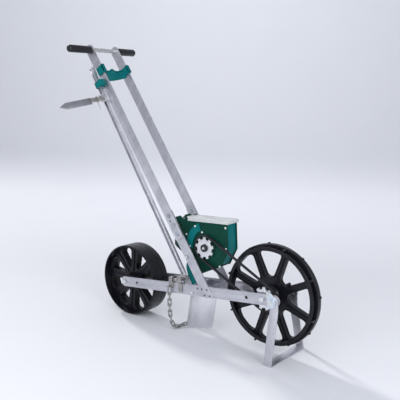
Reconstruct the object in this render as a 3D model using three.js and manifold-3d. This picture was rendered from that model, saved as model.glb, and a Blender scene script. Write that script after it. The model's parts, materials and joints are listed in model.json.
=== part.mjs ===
// Walk-behind precision seeder: a two-wheeled push drill parked on its front stand.
// Millimetres. +X is the direction of travel, +Y the machine's left, +Z up, floor at z = 0.
import * as THREE from 'three';
import { mergeVertices } from 'three/addons/utils/BufferGeometryUtils.js';
import Module from 'manifold-3d';

const wasm = await Module();
wasm.setup();

// ---- Driving dimensions ----
const gap = 0.3;                    // clearance between touching pieces
const rearWheelRadius = 125;
const rearWheelWidth = 72;
const frontWheelRadius = 159;
const frontWheelWidth = 36;
const wheelBase = 575;              // horizontal distance between the axles
const frontAxleHeight = 183;        // the stand holds the front wheel clear of the floor
const axleRadius = 5;
const axleThread = 10;              // axle left over outside the far rail, for its nut
const wheelBore = 7;
const railHeight = 35;
const railThickness = 4;
const railOuter = 54;               // outer face of each rail from the mid-plane
const standPivotX = 618;
const standFootX = 627;
const standWidth = 27;
const standFootHalf = 96;
const strapThickness = 3;
const handleFoot = { x: 366.7, z: 162 };
const handleLean = THREE.MathUtils.degToRad(34.3);
const barWidth = 35;
const barThickness = 3.5;
const crossbarAt = 929.8;           // along the handle from its foot
const crossbarRadius = 8;
const gripRadius = 12.8;
const gripEnd = 157;
const shaft = { x: 347, z: 301 };   // seed shaft
const shaftRadius = 6;
const hopperTilt = THREE.MathUtils.degToRad(3);
const plateThickness = 3;
const hopperNear = -31;             // outer faces of the hopper's side plates
const hopperFar = 22;
const wallThickness = 3;
const sprocketNear = -45;           // sprockets and belt share one plane between rail and wheel
const sprocketFar = -34;
const sprocketTip = 36;
const sprocketRoot = 29;
const sprocketTeeth = 9;
const beltThickness = 5;
const discRadius = 60;
const markerFoot = { x: 288, z: 207 };
const markerLean = THREE.MathUtils.degToRad(32.84);
const markerLength = 785;
const markerPivot = { x: 257, y: -68, z: 182 };
const bladeTurn = THREE.MathUtils.degToRad(20);

const rearAxleHeight = rearWheelRadius;
const frameTilt = Math.atan2(frontAxleHeight - rearAxleHeight, wheelBase);
const railAxleSpan = Math.hypot(wheelBase, frontAxleHeight - rearAxleHeight);
const railStandX = standPivotX / Math.cos(frameTilt);
const standPivotZ = rearAxleHeight + standPivotX * Math.tan(frameTilt);
const railInner = railOuter - railThickness;
const lowerBarInner = railOuter + gap;
const lowerBarOuter = lowerBarInner + barThickness;
const upperBarInner = lowerBarOuter + gap;
const upperBarOuter = upperBarInner + barThickness;

// ---- Materials ----
function finish(color, roughness, metalness, extra = {}) {
  return new THREE.MeshStandardMaterial({ color, roughness, metalness, ...extra });
}
const aluminium = finish(0xb9bac6, 0.42, 0.9);
const brightAluminium = finish(0xd2d3da, 0.25, 0.95);
const steel = finish(0x9a9a9f, 0.35, 1);
const zinc = finish(0xbfcfe0, 0.38, 0.85);
const blackPlastic = finish(0x1c1c22, 0.5, 0);
const blackRubber = finish(0x121214, 0.75, 0);
const darkGreen = finish(0x06382a, 0.5, 0);
const teal = finish(0x0b7070, 0.5, 0);
const clearPlastic = finish(0xd8dede, 0.15, 0, { transparent: true, opacity: 0.55 });

// ---- Geometry helpers ----
function toSolid(geometry) {
  const bare = geometry.index ? geometry.toNonIndexed() : geometry.clone();
  bare.deleteAttribute('normal');
  bare.deleteAttribute('uv');
  const merged = mergeVertices(bare, 1e-4);
  const mesh = new wasm.Mesh({
    numProp: 3,
    vertProperties: new Float32Array(merged.attributes.position.array),
    triVerts: new Uint32Array(merged.index.array),
  });
  return new wasm.Manifold(mesh);
}

function toGeometry(solid) {
  const mesh = solid.getMesh();
  const geometry = new THREE.BufferGeometry();
  geometry.setAttribute('position', new THREE.BufferAttribute(mesh.vertProperties, 3));
  geometry.setIndex(new THREE.BufferAttribute(mesh.triVerts, 1));
  geometry.computeVertexNormals();
  return geometry;
}

function join(...geometries) {
  return toGeometry(geometries.map(toSolid).reduce((a, b) => a.add(b)));
}

function cut(geometry, ...tools) {
  return toGeometry(tools.map(toSolid).reduce((a, b) => a.subtract(b), toSolid(geometry)));
}

function common(a, b) {
  return toGeometry(toSolid(a).intersect(toSolid(b)));
}

// A closed outline, turned anticlockwise so that clockwise holes cut it.
function polygon(points) {
  const corners = points.map(([x, y]) => new THREE.Vector2(x, y));
  return new THREE.Shape(THREE.ShapeUtils.isClockWise(corners) ? corners.reverse() : corners);
}

function circlePath(x, y, radius) {
  const path = new THREE.Path();
  path.absarc(x, y, radius, 0, Math.PI * 2, true);
  return path;
}

function roundShape(radius, segments) {
  const corners = [];
  for (let i = 0; i < segments; i += 1) {
    const angle = i * Math.PI * 2 / segments;
    corners.push([radius * Math.cos(angle), radius * Math.sin(angle)]);
  }
  return polygon(corners);
}

function withHoles(shape, holes) {
  shape.holes.push(...holes.map(([x, y, radius]) => circlePath(x, y, radius)));
  return shape;
}

// A plate drawn in the side view (x, z) and pulled through y, from its low y face.
function sideExtrude(shape, thickness, yLow, curveSegments = 8) {
  const geometry = new THREE.ExtrudeGeometry(shape, { depth: thickness, bevelEnabled: false, curveSegments });
  geometry.rotateX(Math.PI / 2);
  geometry.translate(0, yLow + thickness, 0);
  return geometry;
}

// A cylinder along y from yLow to yHigh, at (x, z) of the side view.
function crossRod(radius, yLow, yHigh, x = 0, z = 0, segments = 20) {
  const geometry = new THREE.CylinderGeometry(radius, radius, yHigh - yLow, segments);
  geometry.translate(x, (yLow + yHigh) / 2, z);
  return geometry;
}

function block(xLow, xHigh, yLow, yHigh, zLow, zHigh) {
  const geometry = new THREE.BoxGeometry(xHigh - xLow, yHigh - yLow, zHigh - zLow);
  geometry.translate((xLow + xHigh) / 2, (yLow + yHigh) / 2, (zLow + zHigh) / 2);
  return geometry;
}

// The outline of sheet of one thickness that follows a path; the sheet lies to the left of it.
function sheetOutline(points, thickness) {
  const path = points.map(([x, y]) => new THREE.Vector2(x, y));
  const offset = path.map((point, i) => {
    const before = i > 0 ? point.clone().sub(path[i - 1]).normalize() : null;
    const after = i < path.length - 1 ? path[i + 1].clone().sub(point).normalize() : null;
    const a = before ?? after;
    const b = after ?? before;
    const normal = new THREE.Vector2(-a.y - b.y, a.x + b.x).normalize();
    const reach = thickness / normal.dot(new THREE.Vector2(-a.y, a.x));
    return point.clone().addScaledVector(normal, reach);
  });
  return new THREE.Shape([...path, ...offset.reverse()]);
}

// A bolt along y with a hexagonal head at its low y end.
function headedBolt(radius, headY, yHigh, headRadius, headHeight) {
  const head = new THREE.CylinderGeometry(headRadius, headRadius, headHeight, 6);
  head.translate(0, headY + headHeight / 2, 0);
  return join(head, crossRod(radius, headY + headHeight / 2, yHigh, 0, 0, 16));
}

// A ring along y.
function ring(inner, outer, yLow, yHigh, segments = 20) {
  const profile = [
    new THREE.Vector2(inner, yLow),
    new THREE.Vector2(outer, yLow),
    new THREE.Vector2(outer, yHigh),
    new THREE.Vector2(inner, yHigh),
    new THREE.Vector2(inner, yLow),
  ];
  return new THREE.LatheGeometry(profile, segments);
}

const root = new THREE.Group();
root.position.x = -standFootX;      // the origin is under the middle of the stand's foot

function addMesh(parent, name, geometry, material, place = {}) {
  const mesh = new THREE.Mesh(geometry, material.clone());
  mesh.name = name;
  mesh.position.set(place.x ?? 0, place.y ?? 0, place.z ?? 0);
  mesh.rotation.set(place.turnX ?? 0, place.turnY ?? 0, place.turnZ ?? 0);
  parent.add(mesh);
  return mesh;
}

const sides = [{ name: 'near', sign: -1 }, { name: 'far', sign: 1 }];

// Low y face of a layer that lies between two distances from the mid-plane on one side.
function layerLow(sign, inner, outer) {
  return sign < 0 ? -outer : inner;
}

// ---- Chassis: rails, axles and spacers, in a frame that slopes with the rails ----
const chassis = new THREE.Group();
chassis.position.set(0, 0, rearAxleHeight);
chassis.rotation.y = -frameTilt;
root.add(chassis);

const openerBolt = { x: 307, z: -8, radius: 3 };
const railRearEnd = -14;
const railRearCorner = 12;
const spareHoles = [[59, 0, 4.5], [521, -0.5, 5]];   // x, z and radius of the rails' unused holes

function railShape() {
  const half = railHeight / 2;
  const cornerX = railRearEnd + railRearCorner;
  const shape = new THREE.Shape();
  shape.moveTo(cornerX, -half);
  shape.lineTo(railStandX, -half);
  shape.absarc(railStandX, 0, half, -Math.PI / 2, Math.PI / 2, false);
  shape.lineTo(cornerX, half);
  shape.absarc(cornerX, half - railRearCorner, railRearCorner, Math.PI / 2, Math.PI, false);
  shape.absarc(cornerX, railRearCorner - half, railRearCorner, Math.PI, Math.PI * 1.5, false);
  return withHoles(shape, [
    [0, 0, axleRadius + gap],
    [railAxleSpan, 0, axleRadius + gap],
    [railStandX, 0, axleRadius + gap],
    ...spareHoles,
    [openerBolt.x, openerBolt.z, openerBolt.radius + gap],
  ]);
}

function buildRails() {
  for (const { name, sign } of sides) {
    const low = layerLow(sign, railInner, railOuter);
    addMesh(chassis, `rail_${name}`, sideExtrude(railShape(), railThickness, low), aluminium);
  }
}

function buildAxles() {
  const headHeight = 5;
  const headRadius = 8.5;
  const spacerRadius = 9;
  const outside = railOuter + gap;
  const spots = [
    { name: 'rear', x: 0, hubNear: 38, hubFar: 38 },
    { name: 'front', x: railAxleSpan, hubNear: 45.5, hubFar: 34 },
  ];
  for (const { name, x, hubNear, hubFar } of spots) {
    const bolt = headedBolt(axleRadius, -outside - headHeight, outside + axleThread, headRadius, headHeight);
    addMesh(chassis, `${name}_axle`, bolt, zinc, { x });
    for (const side of sides) {
      const inner = side.sign < 0 ? hubNear : hubFar;
      const low = layerLow(side.sign, inner, railInner - gap);
      const spacer = ring(axleRadius + gap, spacerRadius, low, low + railInner - gap - inner);
      addMesh(chassis, `${name}_spacer_${side.name}`, spacer, steel, { x });
    }
  }
}

// ---- Wheels ----
const spokes = 8;
const windowRound = 7;
const windowTipHalf = 5;

// A window between two spokes: narrow towards the hub, widest just inside the rim.
function wheelWindow(centre, inner, outer, halfInner, halfOuter) {
  const ux = Math.cos(centre);
  const uy = Math.sin(centre);
  const at = (along, across) => [ux * along - uy * across, uy * along + ux * across];
  const corners = [
    at(inner, -halfInner),
    at(outer * 0.93, -halfOuter),
    at(outer, -halfOuter * 0.45),
    at(outer, halfOuter * 0.45),
    at(outer * 0.93, halfOuter),
    at(inner, halfInner),
  ];
  const path = new THREE.Path();
  corners.forEach(([x, y], i) => {
    const [px, py] = corners[(i + corners.length - 1) % corners.length];
    const [nx, ny] = corners[(i + 1) % corners.length];
    const before = Math.hypot(px - x, py - y);
    const after = Math.hypot(nx - x, ny - y);
    const trim = Math.min(windowRound, before * 0.45, after * 0.45);
    const inX = x + (px - x) * trim / before;
    const inY = y + (py - y) * trim / before;
    const outX = x + (nx - x) * trim / after;
    const outY = y + (ny - y) * trim / after;
    if (i === 0) path.moveTo(inX, inY);
    else path.lineTo(inX, inY);
    path.quadraticCurveTo(x, y, outX, outY);
  });
  path.closePath();
  return path;
}

// Rim, spoked web and hub as one moulding; a flat of the rim's facets lies towards the floor.
function wheelGeometry(wheel) {
  const { radius, width, rim, web, hubRadius, hubLow, hubHigh, windowInner, windowShare, windowTurn } = wheel;
  const segments = 48;
  const grown = radius / Math.cos(Math.PI / segments);
  const turn = Math.PI / segments;
  const rimSolid = ring(radius - rim, grown, -width / 2, width / 2, segments);
  rimSolid.rotateY(turn);
  const shape = roundShape(radius - rim / 2, segments);
  const windowOuter = radius - rim - 1.5;
  for (let i = 0; i < spokes; i += 1) {
    const centre = (i + windowTurn) * Math.PI * 2 / spokes;
    const halfOuter = windowOuter * Math.sin(Math.PI / spokes) * windowShare;
    shape.holes.push(wheelWindow(centre, windowInner, windowOuter, windowTipHalf, halfOuter));
  }
  const webSolid = sideExtrude(shape, web, -web / 2, 3);
  const hub = crossRod(hubRadius, hubLow, hubHigh, 0, 0, 24);
  const bore = crossRod(wheelBore, hubLow - 1, hubHigh + 1);
  return cut(join(rimSolid, webSolid, hub), bore);
}

function buildWheels() {
  const front = wheelGeometry({
    radius: frontWheelRadius, width: frontWheelWidth, rim: 12, web: 14, hubRadius: 26,
    hubLow: sprocketFar + gap, hubHigh: 33.5, windowInner: 46, windowShare: 0.74, windowTurn: 0.07,
  });
  addMesh(root, 'front_wheel', front, blackPlastic, { x: wheelBase, z: frontAxleHeight });
  const rear = wheelGeometry({
    radius: rearWheelRadius, width: rearWheelWidth, rim: 7, web: 14, hubRadius: 22,
    hubLow: -37.5, hubHigh: 37.5, windowInner: 46, windowShare: 0.56, windowTurn: 0.4,
  });
  addMesh(root, 'rear_wheel', rear, blackPlastic, { z: rearAxleHeight });
  const bushOuter = wheelBore - 0.3;
  const frontBush = ring(axleRadius + 0.1, bushOuter, sprocketFar + 1, 33);
  addMesh(root, 'front_wheel_bush', frontBush, brightAluminium, { x: wheelBase, z: frontAxleHeight });
  const rearBush = ring(axleRadius + 0.1, bushOuter, -37, 37);
  addMesh(root, 'rear_wheel_bush', rearBush, brightAluminium, { z: rearAxleHeight });
}

// ---- Drive: two star sprockets, one belt ----
function sprocketShape(bore) {
  const shape = new THREE.Shape();
  const step = Math.PI * 2 / sprocketTeeth;
  const tooth = [[sprocketRoot, -0.26], [sprocketTip, -0.2], [sprocketTip, 0.2], [sprocketRoot, 0.26]];
  for (let i = 0; i < sprocketTeeth; i += 1) {
    const centre = i * step;
    for (const [radius, share] of tooth) {
      const x = radius * Math.cos(centre + share * step);
      const y = radius * Math.sin(centre + share * step);
      if (i === 0 && share === tooth[0][1]) shape.moveTo(x, y);
      else shape.lineTo(x, y);
    }
  }
  shape.closePath();
  return withHoles(shape, [[0, 0, bore]]);
}

function beltShape() {
  const inner = sprocketTip + 0.6;
  const outer = inner + beltThickness;
  const dx = wheelBase - shaft.x;
  const dz = frontAxleHeight - shaft.z;
  const span = Math.hypot(dx, dz);
  const angle = Math.atan2(dz, dx);
  const loop = (path, radius) => {
    path.absarc(0, 0, radius, Math.PI / 2, Math.PI * 1.5, false);
    path.absarc(span, 0, radius, -Math.PI / 2, Math.PI / 2, false);
    path.closePath();
    return path;
  };
  const shape = loop(new THREE.Shape(), outer);
  shape.holes.push(loop(new THREE.Path(), inner));
  return { shape, angle };
}

function buildDrive() {
  const width = sprocketFar - sprocketNear;
  const sprocketTurn = THREE.MathUtils.degToRad(-12);
  const top = sideExtrude(sprocketShape(shaftRadius + gap), width, sprocketNear);
  addMesh(root, 'seed_sprocket', top, brightAluminium, { x: shaft.x, z: shaft.z, turnY: sprocketTurn });
  const low = sideExtrude(sprocketShape(wheelBore), width, sprocketNear);
  addMesh(root, 'front_sprocket', low, brightAluminium, { x: wheelBase, z: frontAxleHeight, turnY: sprocketTurn });
  const { shape, angle } = beltShape();
  const belt = sideExtrude(shape, width - 2, sprocketNear + 1, 12);
  addMesh(root, 'drive_belt', belt, blackRubber, { x: shaft.x, z: shaft.z, turnY: -angle });
  const axis = { x: shaft.x, z: shaft.z };
  addMesh(root, 'seed_shaft', crossRod(shaftRadius, sprocketNear - 4, hopperFar + 5), steel, axis);
  const disc = ring(shaftRadius + gap, discRadius, -6, -3, 36);
  const cellCount = 12;
  const cellCircle = 50;
  const cells = [];
  for (let i = 0; i < cellCount; i += 1) {
    const a = i * Math.PI * 2 / cellCount;
    cells.push(crossRod(4, -7, -2, cellCircle * Math.cos(a), cellCircle * Math.sin(a), 8));
  }
  addMesh(root, 'seed_disc', cut(disc, ...cells), clearPlastic, axis);
  const cap = ring(shaftRadius + gap, 12, sprocketNear - 5, sprocketNear - gap);
  addMesh(root, 'sprocket_hub_cap', cap, blackPlastic, axis);
}

// ---- Hopper, in a frame centred on the seed shaft ----
const hopper = new THREE.Group();
hopper.position.set(shaft.x, 0, shaft.z);
hopper.rotation.y = -hopperTilt;
root.add(hopper);

const hingeSpot = { x: -88, z: 87 };
const mountSpots = [[-112, 66], [-62, -34]];
const sideOutline = [
  [-135, -4], [-131, 88], [-109, 94.5], [-96, 86], [-94.5, 93.5], [-81.5, 93.5], [-80, 82],
  [82, 82], [83, -5], [54, -56], [-23, -89], [-104, -26], [-127, -12],
];
const wallPath = [[-90, 80], [-90, 26], [-97, -22], [-24, -83.5], [51, -53], [79.5, -4.5], [78.5, 80]];

function buildHopper() {
  const holes = [
    [0, 0, 9 + gap],
    [hingeSpot.x, hingeSpot.z, 2.5 + gap],
    ...mountSpots.map(([x, z]) => [x, z, 4 + gap]),
  ];
  const layers = [
    { name: 'near', low: hopperNear },
    { name: 'far', low: hopperFar - plateThickness },
  ];
  for (const { name, low } of layers) {
    const plate = sideExtrude(withHoles(polygon(sideOutline), holes), plateThickness, low);
    addMesh(hopper, `hopper_side_${name}`, plate, darkGreen);
    const bush = ring(6.1, 9, low, low + plateThickness);
    addMesh(hopper, `shaft_bush_${name}`, bush, steel);
  }
  const wallLow = hopperNear + plateThickness + gap;
  const wallWidth = hopperFar - plateThickness - gap - wallLow;
  const walls = sideExtrude(sheetOutline(wallPath, wallThickness), wallWidth, wallLow);
  const outlet = block(-14, 14, -19, 11, -12, 12);
  outlet.rotateY(THREE.MathUtils.degToRad(40));
  outlet.translate(-66, 0, -49);
  const guard = cut(walls, outlet, crossRod(4 + gap, -40, 40, mountSpots[1][0], mountSpots[1][1], 12));
  addMesh(hopper, 'hopper_body', guard, teal);
  const arc = new THREE.Shape();
  arc.absarc(0, 0, 82, THREE.MathUtils.degToRad(112), THREE.MathUtils.degToRad(188), false);
  arc.absarc(0, 0, 57, THREE.MathUtils.degToRad(188), THREE.MathUtils.degToRad(112), true);
  addMesh(hopper, 'disc_cover_arc', sideExtrude(arc, 2.5, hopperNear - gap - 2.5, 14), teal);
  const brush = block(-30, -6, -16, 6, 64, 74);
  addMesh(hopper, 'seed_brush', brush, blackRubber);
  addMesh(hopper, 'lid_hinge_pin', crossRod(2.5, -36, 27, hingeSpot.x, hingeSpot.z, 12), steel);
}

function buildLid() {
  const low = hopperNear - 0.5 - wallThickness;
  const high = hopperFar + 0.5 + wallThickness;
  const tray = cut(
    block(-74, 87.5, low, high, 81, 92),
    block(-80, 84, low + wallThickness, high - wallThickness, 80, 89.5),
  );
  const knuckle = (a, b) => crossRod(5, a, b, hingeSpot.x, hingeSpot.z, 16);
  const leaf = block(-88, -70, hopperNear + plateThickness + 1, hopperFar - plateThickness - 1, 89.5, 92);
  const hingeHole = crossRod(2.5 + gap, -60, 60, hingeSpot.x, hingeSpot.z, 16);
  const solid = cut(join(tray, leaf, knuckle(-26, -8), knuckle(4, 17)), hingeHole);
  addMesh(hopper, 'lid', solid, clearPlastic);
}

// Threaded rods that carry the hopper between the lower handle bars.
function buildHopperMounts() {
  mountSpots.forEach(([x, z], i) => {
    const label = i === 0 ? 'upper' : 'lower';
    addMesh(hopper, `hopper_rod_${label}`, crossRod(4, -64, 64, x, z, 14), zinc);
    for (const { name, sign } of sides) {
      const inner = sign < 0 ? -hopperNear + gap : hopperFar + gap;
      const low = layerLow(sign, inner, railOuter);
      const sleeve = ring(4 + gap, 7, low, low + railOuter - inner, 14);
      addMesh(hopper, `rod_sleeve_${label}_${name}`, sleeve, aluminium, { x, z });
    }
  });
}

// ---- Handle, in a frame whose z axis runs up the bars ----
const handle = new THREE.Group();
handle.position.set(handleFoot.x, 0, handleFoot.z);
handle.rotation.y = -handleLean;
root.add(handle);

const lowerBarTop = 292;
const upperBarFoot = 190;
const jointSpots = [210, 276];

function hopperSpotOnHandle([x, z]) {
  const wx = shaft.x + x * Math.cos(hopperTilt) - z * Math.sin(hopperTilt) - handleFoot.x;
  const wz = shaft.z + x * Math.sin(hopperTilt) + z * Math.cos(hopperTilt) - handleFoot.z;
  const across = wx * Math.cos(handleLean) + wz * Math.sin(handleLean);
  const up = wz * Math.cos(handleLean) - wx * Math.sin(handleLean);
  return [across, up];
}

function lowerBarShape() {
  const half = barWidth / 2;
  const round = 8;
  const slope = Math.tan(handleLean - frameTilt);
  const foot = -railHeight / 2 / Math.cos(handleLean - frameTilt);
  const shape = new THREE.Shape();
  shape.moveTo(-half, foot + half * slope);
  shape.lineTo(half, foot - half * slope);
  shape.lineTo(half, lowerBarTop - round);
  shape.quadraticCurveTo(half, lowerBarTop, half - round, lowerBarTop);
  shape.lineTo(round - half, lowerBarTop);
  shape.quadraticCurveTo(-half, lowerBarTop, -half, lowerBarTop - round);
  const rods = mountSpots.map((spot) => [...hopperSpotOnHandle(spot), 4 + gap]);
  return withHoles(shape, [...rods, ...jointSpots.map((z) => [0, z, 3 + gap])]);
}

function upperBarShape() {
  const half = barWidth / 2;
  const top = crossbarAt + half;
  const round = 8;
  const shape = new THREE.Shape();
  shape.moveTo(round - half, upperBarFoot);
  shape.lineTo(half - round, upperBarFoot);
  shape.quadraticCurveTo(half, upperBarFoot, half, upperBarFoot + round);
  shape.lineTo(half, crossbarAt);
  shape.absarc(0, crossbarAt, half, 0, Math.PI, false);
  shape.lineTo(-half, upperBarFoot + round);
  shape.quadraticCurveTo(-half, upperBarFoot, round - half, upperBarFoot);
  const upperRod = hopperSpotOnHandle(mountSpots[0]);
  return withHoles(shape, [
    [0, crossbarAt, crossbarRadius + gap],
    [...upperRod, 4 + gap],
    ...jointSpots.map((z) => [0, z, 3 + gap]),
  ]);
}

function buildHandle() {
  for (const { name, sign } of sides) {
    const lower = sideExtrude(lowerBarShape(), barThickness, layerLow(sign, lowerBarInner, lowerBarOuter));
    addMesh(handle, `handle_lower_${name}`, lower, aluminium);
    const upper = sideExtrude(upperBarShape(), barThickness, layerLow(sign, upperBarInner, upperBarOuter), 10);
    addMesh(handle, `handle_upper_${name}`, upper, aluminium);
    const wall = upperBarOuter + gap;
    const round = 6;
    const profile = [
      new THREE.Vector2(crossbarRadius + gap, wall),
      new THREE.Vector2(gripRadius - 1.5, wall),
      new THREE.Vector2(gripRadius, wall + 2),
      new THREE.Vector2(gripRadius, gripEnd - round),
      new THREE.Vector2(gripRadius - 2, gripEnd - 2),
      new THREE.Vector2(gripRadius - round, gripEnd),
      new THREE.Vector2(0, gripEnd),
      new THREE.Vector2(0, gripEnd - 6),
      new THREE.Vector2(crossbarRadius + gap, gripEnd - 6),
      new THREE.Vector2(crossbarRadius + gap, wall),
    ];
    const grip = new THREE.LatheGeometry(profile, 24);
    if (sign < 0) grip.rotateZ(Math.PI);
    addMesh(handle, `grip_${name}`, grip, blackRubber, { z: crossbarAt });
  }
  const tubeEnd = gripEnd - 6 - gap;
  addMesh(handle, 'crossbar', ring(6.4, crossbarRadius, -tubeEnd, tubeEnd), aluminium, { z: crossbarAt });
}

// Moulded brace that ties the two bars under the crossbar: two hooked ends and a dished web.
function buildBrace() {
  const low = 825;
  const high = 855;
  const face = upperBarOuter + gap;
  const hookInner = 50;
  const hookOuter = face + 3.5;
  const barFront = barWidth / 2 + gap;
  const hooks = sides.map(({ sign }) => {
    const shellLow = layerLow(sign, hookInner, hookOuter);
    const shell = block(-9, 25, shellLow, shellLow + hookOuter - hookInner, low, high);
    const slotLow = layerLow(sign, upperBarInner - gap, face);
    const slot = block(-30, barFront, slotLow, slotLow + face - upperBarInner + gap, low - 1, high + 1);
    return cut(shell, slot);
  });
  const dish = [[-52, 16], [-40, 4], [-22, -4], [0, -7], [22, -4], [40, 4], [52, 16]];   // y and x of the web
  const web = new THREE.ExtrudeGeometry(sheetOutline(dish, 4), { depth: 42, bevelEnabled: false });
  web.applyMatrix4(new THREE.Matrix4().set(0, 1, 0, 0, 1, 0, 0, 0, 0, 0, -1, high - 2, 0, 0, 0, 1));
  addMesh(handle, 'handle_brace', join(...hooks, web), teal);
}

// ---- Furrow opener and its carrier ----
function buildOpener() {
  const path = [[302, 15], [302, -14], [376, -14], [376, 15]];
  const width = 2 * (railInner - gap);
  const channel = sideExtrude(sheetOutline(path, 3), width, -width / 2);
  const slot = block(295, 345, -19, 10, -20, 30);
  const boltHole = crossRod(openerBolt.radius + gap, -60, 60, openerBolt.x, openerBolt.z, 12);
  addMesh(chassis, 'opener_carrier', cut(channel, slot, boltHole), aluminium);
  const headHeight = 3.5;
  const bolt = headedBolt(openerBolt.radius, -railOuter - gap - headHeight, railOuter + 7, 5.6, headHeight);
  addMesh(chassis, 'opener_bolt', bolt, zinc, { x: openerBolt.x, z: openerBolt.z });
  const plan = [[-48, 20], [4, 20], [39, 0], [4, -20], [-48, -20]];
  const shoe = new THREE.ExtrudeGeometry(sheetOutline(plan, 2), { depth: 160, bevelEnabled: false });
  shoe.translate(0, 0, -20);
  shoe.rotateY(THREE.MathUtils.degToRad(8.7));
  shoe.translate(307, 0, 15);
  const ground = block(-200, 200, -60, 60, -60, 0);
  ground.rotateY(THREE.MathUtils.degToRad(-4.7));
  ground.translate(307, 0, 18.5);
  const ceiling = block(-300, 300, -60, 60, 0, 80);
  ceiling.translate(320, 0, -14 - gap);
  ceiling.rotateY(-frameTilt);
  ceiling.translate(0, 0, rearAxleHeight);
  addMesh(root, 'furrow_opener', cut(shoe, ground, ceiling), aluminium);
}

// Seed chute: a moulded duct from the hopper's outlet down to the open back of the furrow opener.
const chuteRoute = [[283, 250], [273, 243], [261, 233], [255, 218], [259, 200], [269, 182], [280, 161], [284.5, 151]];
const chuteRadius = 11.5;
const hopperMiddle = (hopperNear + hopperFar) / 2;

function buildChute() {
  const points = chuteRoute.map(([x, z]) => new THREE.Vector3(x, hopperMiddle, z));
  const section = new THREE.Shape();
  section.absarc(0, 0, chuteRadius, 0, Math.PI * 2, false);
  section.holes.push(circlePath(0, 0, chuteRadius - 2));
  const duct = new THREE.ExtrudeGeometry(section, {
    steps: 12,
    curveSegments: 7,
    extrudePath: new THREE.CatmullRomCurve3(points),
    bevelEnabled: false,
  });
  addMesh(root, 'seed_chute', duct, teal);
}

// ---- Stand ----
function buildStand() {
  const inside = railOuter + 0.4;
  const foot = standFootHalf - strapThickness;
  const bend = standPivotZ - 30;
  const top = standPivotZ + 20;
  const path = [
    [inside, top], [inside, bend], [foot, strapThickness],
    [-foot, strapThickness], [-inside, bend], [-inside, top],
  ];
  const outline = sheetOutline(path, strapThickness);
  const strap = new THREE.ExtrudeGeometry(outline, { depth: 80, bevelEnabled: false });
  strap.applyMatrix4(new THREE.Matrix4().set(0, 0, 1, standPivotX - 40, 1, 0, 0, 0, 0, 1, 0, 0, 0, 0, 0, 1));
  const half = standWidth / 2;
  const leg = new THREE.Shape();
  leg.moveTo(standFootX - half, -5);
  leg.lineTo(standFootX + half, -5);
  leg.lineTo(standPivotX + half + 1, standPivotZ);
  leg.absarc(standPivotX, standPivotZ, half + 1, 0, Math.PI, false);
  const pivotHole = [[standPivotX, standPivotZ, axleRadius + gap]];
  const outlineSolid = sideExtrude(withHoles(leg, pivotHole), 220, -110, 12);
  addMesh(root, 'stand_strap', common(strap, outlineSolid), aluminium);
  const face = inside + strapThickness + gap;
  const stopHole = [[0, 0, axleRadius + gap]];
  const stopOutline = [[-26, 26], [-12, 25], [12, 5], [1.5, -22], [-18.5, -27], [-21, 0]];
  const stop = sideExtrude(withHoles(polygon(stopOutline), stopHole), strapThickness, -face - strapThickness);
  addMesh(root, 'stand_stop', stop, zinc, { x: standPivotX, z: standPivotZ });
  for (const { name, sign } of sides) {
    const bolt = headedBolt(axleRadius, -face - strapThickness - gap - 4, -railInner + 5, 8, 4);
    if (sign > 0) bolt.rotateZ(Math.PI);
    addMesh(root, `stand_bolt_${name}`, bolt, zinc, { x: standPivotX, z: standPivotZ });
  }
}

// ---- Row marker, in a frame whose z axis runs up the arm ----
const marker = new THREE.Group();
marker.position.set(markerFoot.x, 0, markerFoot.z);
marker.rotation.y = -markerLean;
root.add(marker);

const armWidth = 13;
const armWall = 1.8;
const armInner = -64.5;
const armOuter = -78.5;
const sliderWall = 2.2;
const sliderSpot = 650;
const bladeWidth = 24;
const bladeLength = 158;

function inMarker([x, z]) {
  const dx = x - markerFoot.x;
  const dz = z - markerFoot.z;
  const across = dx * Math.cos(markerLean) + dz * Math.sin(markerLean);
  const up = dz * Math.cos(markerLean) - dx * Math.sin(markerLean);
  return [across, up];
}

function buildMarkerArm() {
  const half = armWidth / 2;
  const path = [[half, armOuter], [half, armInner], [-half, armInner], [-half, armOuter]];
  const section = sheetOutline(path, armWall);
  const channel = new THREE.ExtrudeGeometry(section, { depth: markerLength, bevelEnabled: false });
  addMesh(marker, 'marker_arm', channel, aluminium);
  const { y, z } = markerPivot;
  const lug = 4.4;
  const outline = [
    [-lug, 42], [lug, 42], [lug, -1.5],
    ...[[291, 201], [273, 196.5], [268, 177.5], [250, 177.5], [250, 190], [258, 197], [276, 203]].map(inMarker),
    [-lug, -1.5],
  ];
  const plate = sideExtrude(polygon(outline), 3, armInner - armWall - gap - 3);
  const pinFrame = new THREE.Matrix4().makeRotationY(markerLean);
  const [px, pz] = inMarker([markerPivot.x, z]);
  const along = (radius, length) => {
    const rod = new THREE.CylinderGeometry(radius, radius, length, 20);
    rod.rotateZ(Math.PI / 2);
    rod.applyMatrix4(pinFrame);
    rod.translate(px, y, pz);
    return rod;
  };
  addMesh(marker, 'marker_foot', cut(join(plate, along(6, 31)), along(3.1, 80)), steel);
}

function buildMarkerClamp() {
  const { x, y, z } = markerPivot;
  const face = -railOuter - gap;
  const bracket = cut(
    join(
      block(x - 20, x + 20, face - 3, face, z - 42, z + 12),
      block(x - 20, x - 17, y - 9, face - 1, z - 9, z + 9.5),
      block(x + 17, x + 20, y - 9, face - 1, z - 9, z + 9.5),
    ),
    alongX(3 + gap, x - 30, x + 30, y, z),
    block(x - 30, x - 7, face - 10, face + 5, z - 50, z - 14),
    block(x + 10, x + 30, face - 10, face + 5, z - 50, z - 14),
  );
  addMesh(root, 'marker_clamp', bracket, steel);
  addMesh(root, 'marker_pivot_pin', alongX(3, x - 24, x + 24, y, z), zinc);
}

function alongX(radius, xLow, xHigh, y, z) {
  const rod = new THREE.CylinderGeometry(radius, radius, xHigh - xLow, 20);
  rod.rotateZ(Math.PI / 2);
  rod.translate((xLow + xHigh) / 2, y, z);
  return rod;
}

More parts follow.
